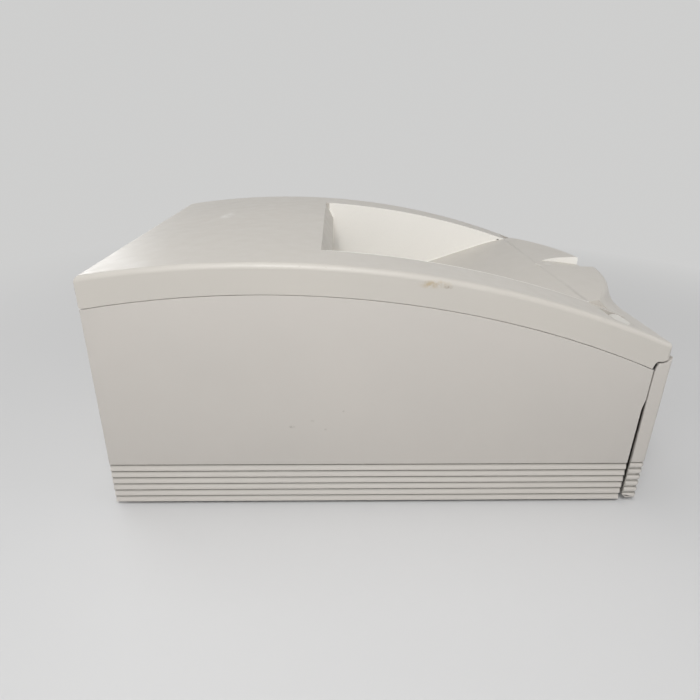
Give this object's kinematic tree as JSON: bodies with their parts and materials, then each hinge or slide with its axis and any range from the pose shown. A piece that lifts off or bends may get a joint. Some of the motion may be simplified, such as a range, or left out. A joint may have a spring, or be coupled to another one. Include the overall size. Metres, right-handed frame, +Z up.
{
  "type": "desktop medical film printer",
  "caption": "Desktop printer for dry medical film: hinged crowned lid with a deep sloping output well, full-width front door over a sliding film tray, ribbed side panels.",
  "frame": {"origin": "on the floor under the middle of the cabinet", "axes": "+Y towards the rear along the length, +Z up, +X to the right seen from behind; the door faces -Y"},
  "size_m": [0.424, 0.56, 0.2635],
  "materials": {
    "cover_plastic": "fine satin texture, warm off-white",
    "case_plastic": "fine spark texture, warm off-white",
    "button_plastic": "smooth, slightly glossy",
    "lamp_lens": "translucent green lens, unlit",
    "frame_plastic": "plain moulded",
    "sheet_steel": "zinc plated sheet",
    "foot_rubber": "matt black",
    "rear_paint": "powder coat, off-white",
    "bright_steel": "ground steel",
    "magnet": "black bonded magnet",
    "bush_plastic": "acetal, natural",
    "guide_steel": "stainless sheet",
    "motor_paint": "black painted can",
    "board_green": "solder resist",
    "socket_black": "moulded black",
    "rocker_black": "moulded black",
    "fan_black": "moulded black",
    "head_alloy": "extruded",
    "bracket_black": "glass-filled nylon",
    "tray_plastic": "dark grey, conductive",
    "film": "blue-tinted sheet edges",
    "roller_rubber": "ground silicone",
    "gear_plastic": "acetal, natural",
    "pinion_brass": "machined"
  },
  "bodies": {
    "case": {"left_side_panel": "case_plastic", "right_side_panel": "case_plastic", "base_pan": "sheet_steel", "feet": "foot_rubber", "rear_panel": "rear_paint", "panel_screws": "bright_steel", "front_frame": "frame_plastic", "door_magnets": "magnet", "door_hinge_pins": "bright_steel", "latch_strikers": "bright_steel", "left_chassis_plate": "sheet_steel", "right_chassis_plate": "sheet_steel", "tie_bars": "bright_steel", "roller_bushes": "bush_plastic", "tray_runners": "sheet_steel", "outer_film_guide": "guide_steel", "inner_film_guide": "guide_steel", "idler_axle": "bright_steel", "drive_motor": "motor_paint", "pick_motor": "motor_paint", "base_hinge_leaves": "bright_steel", "power_supply": "sheet_steel", "control_board": "board_green", "network_socket": "socket_black", "power_inlet": "socket_black", "switch_housing": "socket_black", "fan_frame": "fan_black", "lid_hinge_pins": "bright_steel"},
    "lid": {"lid_shell": "cover_plastic", "lid_hinge_leaves": "bright_steel", "thermal_head": "head_alloy", "head_heatsink": "head_alloy", "head_bracket": "sheet_steel", "pinch_brackets": "bracket_black", "status_lamp": "lamp_lens"},
    "door": {"front_door": "case_plastic", "catch_plates": "bright_steel"},
    "tray": {"film_tray": "tray_plastic", "film_stack": "film"},
    "button": {"release_button": "button_plastic"},
    "key": {"online_key": "button_plastic"},
    "latch": {"latch_shaft": "bright_steel", "latch_hooks": "bracket_black"},
    "platen": {"platen_shaft": "bright_steel", "platen_sleeve": "roller_rubber", "platen_gear": "gear_plastic"},
    "idler": {"idler_gear": "gear_plastic"},
    "exit": {"exit_roller": "roller_rubber", "exit_gear": "gear_plastic"},
    "pinion": {"motor_pinion": "pinion_brass"},
    "pick": {"pick_roller": "roller_rubber"},
    "pinch": {"pinch_wheels": "bush_plastic"},
    "fan": {"fan_rotor": "fan_black"},
    "rocker": {"power_rocker": "rocker_black"}
  },
  "joints": [
    {"name": "lid_hinge", "type": "hinge", "parent": "case", "child": "lid", "pos_m": [0, 0.278, 0.22196], "axis": [-1, 0, 0], "range_deg": [0, 70]},
    {"name": "door_hinge", "type": "hinge", "parent": "case", "child": "door", "pos_m": [0, -0.272, 0.012], "axis": [1, 0, 0], "range_deg": [0, 90]},
    {"name": "tray_slide", "type": "slide", "parent": "case", "child": "tray", "axis": [0, -1, 0], "range_m": [0, 0.11]},
    {"name": "latch_turn", "type": "hinge", "parent": "lid", "child": "latch", "pos_m": [0, -0.245, 0.176], "axis": [-1, 0, 0], "range_deg": [0, 14.3], "stiffness_Nm_per_rad": 0.001, "springref_deg": -34.38},
    {"name": "button_slide", "type": "slide", "parent": "lid", "child": "button", "axis": [0, 0, -1], "range_m": [0, 0.003], "stiffness_N_per_m": 200, "springref_m": -0.002},
    {"name": "key_slide", "type": "slide", "parent": "lid", "child": "key", "axis": [0, 0, -1], "range_m": [0, 0.0025], "stiffness_N_per_m": 200, "springref_m": -0.002},
    {"name": "platen_spin", "type": "hinge", "parent": "case", "child": "platen", "pos_m": [0, 0.135, 0.185], "axis": [1, 0, 0], "continuous": true},
    {"name": "motor_spin", "type": "hinge", "parent": "case", "child": "pinion", "pos_m": [0, 0.151, 0.15729], "axis": [1, 0, 0], "continuous": true},
    {"name": "idler_spin", "type": "hinge", "parent": "case", "child": "idler", "pos_m": [0, 0.10248, 0.17937], "axis": [1, 0, 0], "continuous": true},
    {"name": "exit_spin", "type": "hinge", "parent": "case", "child": "exit", "pos_m": [0, 0.085, 0.191], "axis": [1, 0, 0], "continuous": true},
    {"name": "pick_spin", "type": "hinge", "parent": "case", "child": "pick", "pos_m": [0, 0.09, 0.0789], "axis": [1, 0, 0], "continuous": true},
    {"name": "pinch_spin", "type": "hinge", "parent": "lid", "child": "pinch", "pos_m": [0, 0.085, 0.2083], "axis": [1, 0, 0], "continuous": true},
    {"name": "fan_spin", "type": "hinge", "parent": "case", "child": "fan", "pos_m": [-0.095, 0.26, 0.07], "axis": [0, 1, 0], "continuous": true},
    {"name": "rocker_turn", "type": "hinge", "parent": "case", "child": "rocker", "pos_m": [0.13, 0.2725, 0.075], "axis": [-1, 0, 0], "range_deg": [0, 17.19]}
  ],
  "couplings": [
    {"joint": "tray_slide", "follows": "door_hinge", "m_per_rad": 0.07},
    {"joint": "latch_turn", "follows": "button_slide", "rad_per_m": 83},
    {"joint": "motor_spin", "follows": "platen_spin", "ratio": -3},
    {"joint": "idler_spin", "follows": "platen_spin", "ratio": -2.6667},
    {"joint": "exit_spin", "follows": "platen_spin", "ratio": 2}
  ]
}
